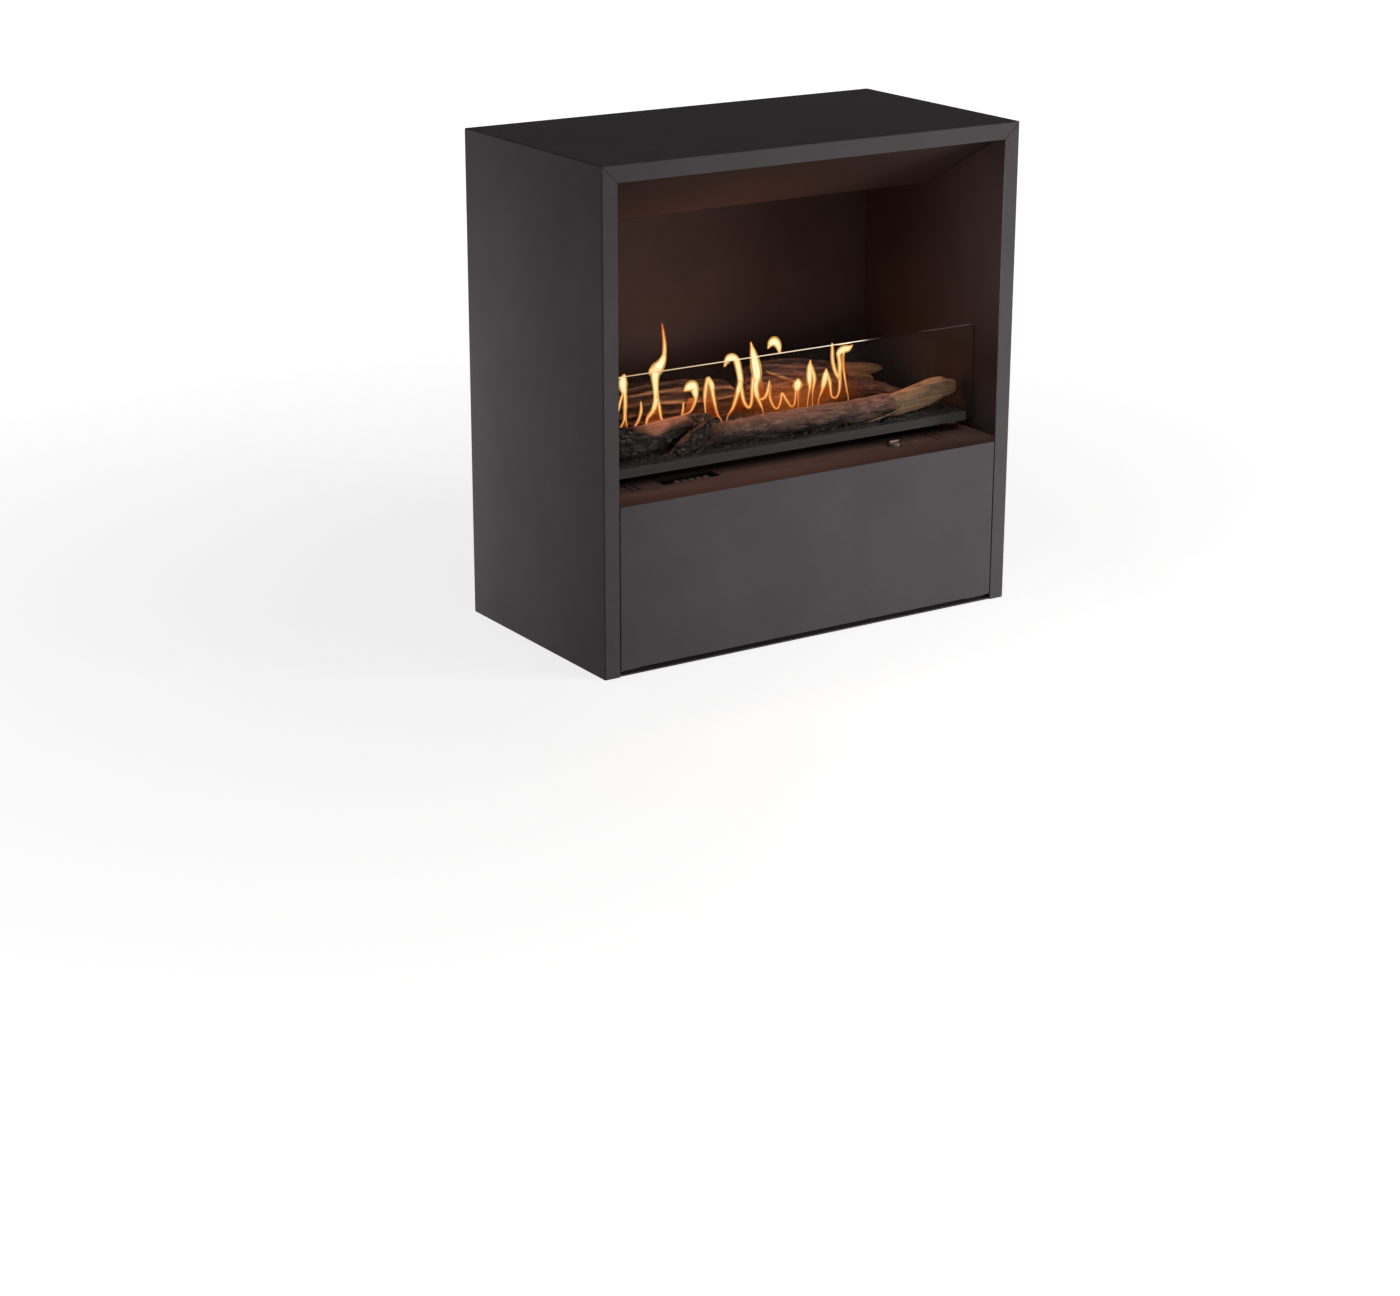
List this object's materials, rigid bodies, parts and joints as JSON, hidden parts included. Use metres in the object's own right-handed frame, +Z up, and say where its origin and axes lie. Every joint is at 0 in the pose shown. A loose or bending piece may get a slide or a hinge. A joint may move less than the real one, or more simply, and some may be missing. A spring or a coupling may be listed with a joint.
{
  "type": "bioethanol fireplace",
  "caption": "Free-standing steel firebox with an automatic bioethanol burner, ceramic logs on a gravel tray, a low glass pane and a pull-off front panel.",
  "frame": {"origin": "middle of the bounding box at the base", "axes": "+Z up, +X to the right seen from the front, the open front faces -Y"},
  "size_m": [0.65, 0.342, 0.662],
  "materials": {
    "casing_paint": "matt powder coat",
    "firebox_paint": "satin heat-proof paint",
    "galvanised": "galvanised",
    "screw_steel": "blackened",
    "magnet_plating": "nickel plated",
    "stainless": "brushed",
    "rail_metal": "satin",
    "chrome_cap": "polished",
    "float_plastic": "moulded",
    "pump_body": "cast",
    "hose_rubber": "matt",
    "black_plastic": "moulded",
    "window_plastic": "polished",
    "lens_plastic": "polished",
    "key_plastic": "moulded",
    "circuit_board": "solder mask",
    "supply_case": "anodised",
    "seat_silicone": "translucent",
    "pane_glass": "polished",
    "lava_stone": "rough",
    "charred_log": "moulded bark",
    "bark_log": "moulded bark",
    "weathered_log": "moulded wood"
  },
  "bodies": {
    "chassis": {"outer_casing": "casing_paint", "base_plate": "casing_paint", "back_panel": "firebox_paint", "back_screws": "screw_steel", "panel_brackets": "casing_paint", "panel_magnets": "magnet_plating", "deck_plate": "firebox_paint", "deck_rails": "galvanised", "deck_screws": "screw_steel", "liner_left": "firebox_paint", "liner_right": "firebox_paint", "liner_back": "firebox_paint", "heat_baffle": "firebox_paint", "baffle_screws": "screw_steel", "burner_tub": "galvanised", "tub_end_left": "galvanised", "tub_end_right": "galvanised", "burner_top": "stainless", "flame_collar": "stainless", "vapour_trough": "stainless", "glow_heater": "stainless", "flame_sensor": "stainless", "fuel_tank": "stainless", "filler_neck": "stainless", "neck_seals": "hose_rubber", "level_sensor": "stainless", "fuel_pump": "pump_body", "suction_line": "hose_rubber", "feed_line": "hose_rubber", "fan_frame": "black_plastic", "control_bezel": "firebox_paint", "display_window": "window_plastic", "control_board": "circuit_board", "power_supply": "supply_case", "mains_wiring": "hose_rubber", "cable_grommet": "hose_rubber", "mains_inlet": "black_plastic", "status_light": "lens_plastic"},
    "fascia": {"front_panel": "casing_paint", "panel_strikers": "galvanised"},
    "log_bed": {"log_tray": "firebox_paint", "tray_feet": "firebox_paint", "lava_gravel": "lava_stone", "glass_rail": "rail_metal", "glass_gaskets": "seat_silicone", "front_left_log": "charred_log", "forked_branch": "bark_log", "front_log": "bark_log", "rear_left_log": "weathered_log", "rear_right_log": "bark_log"},
    "pane": {"glass_pane": "pane_glass"},
    "cap": {"filler_cap": "chrome_cap"},
    "impeller": {"fan_impeller": "black_plastic"},
    "rocker": {"power_rocker": "black_plastic"},
    "tank_float": {"level_float": "float_plastic"},
    "power_key_cap": {"power_key": "key_plastic"},
    "flame_up_key_cap": {"flame_up_key": "key_plastic"},
    "flame_down_key_cap": {"flame_down_key": "key_plastic"},
    "timer_key_cap": {"timer_key": "key_plastic"},
    "lock_key_cap": {"lock_key": "key_plastic"}
  },
  "joints": [
    {"name": "panel_pull", "type": "slide", "parent": "chassis", "child": "fascia", "axis": [0, -1, 0], "range_m": [0, 0.06]},
    {"name": "tray_lift", "type": "slide", "parent": "chassis", "child": "log_bed", "axis": [0, 0, 1], "range_m": [0, 0.05]},
    {"name": "glass_lift", "type": "slide", "parent": "log_bed", "child": "pane", "axis": [0, 0, 1], "range_m": [0, 0.03]},
    {"name": "cap_lift", "type": "slide", "parent": "chassis", "child": "cap", "axis": [0, 0, 1], "range_m": [0, 0.008]},
    {"name": "fan_spin", "type": "hinge", "parent": "chassis", "child": "impeller", "pos_m": [-0.2745, -0.06, 0.11], "axis": [1, 0, 0], "continuous": true},
    {"name": "rocker_tip", "type": "hinge", "parent": "chassis", "child": "rocker", "pos_m": [-0.25, 0.163, 0.104], "axis": [-1, 0, 0], "range_deg": [0, 20]},
    {"name": "float_rise", "type": "slide", "parent": "chassis", "child": "tank_float", "axis": [0, 0, 1], "range_m": [0, 0.05]},
    {"name": "power_key_press", "type": "slide", "parent": "chassis", "child": "power_key_cap", "axis": [0, 0, -1], "range_m": [0, 0.001], "stiffness_N_per_m": 400, "springref_m": -0.0005},
    {"name": "flame_up_key_press", "type": "slide", "parent": "chassis", "child": "flame_up_key_cap", "axis": [0, 0, -1], "range_m": [0, 0.001], "stiffness_N_per_m": 400, "springref_m": -0.0005},
    {"name": "flame_down_key_press", "type": "slide", "parent": "chassis", "child": "flame_down_key_cap", "axis": [0, 0, -1], "range_m": [0, 0.001], "stiffness_N_per_m": 400, "springref_m": -0.0005},
    {"name": "timer_key_press", "type": "slide", "parent": "chassis", "child": "timer_key_cap", "axis": [0, 0, -1], "range_m": [0, 0.001], "stiffness_N_per_m": 400, "springref_m": -0.0005},
    {"name": "lock_key_press", "type": "slide", "parent": "chassis", "child": "lock_key_cap", "axis": [0, 0, -1], "range_m": [0, 0.001], "stiffness_N_per_m": 400, "springref_m": -0.0005}
  ]
}
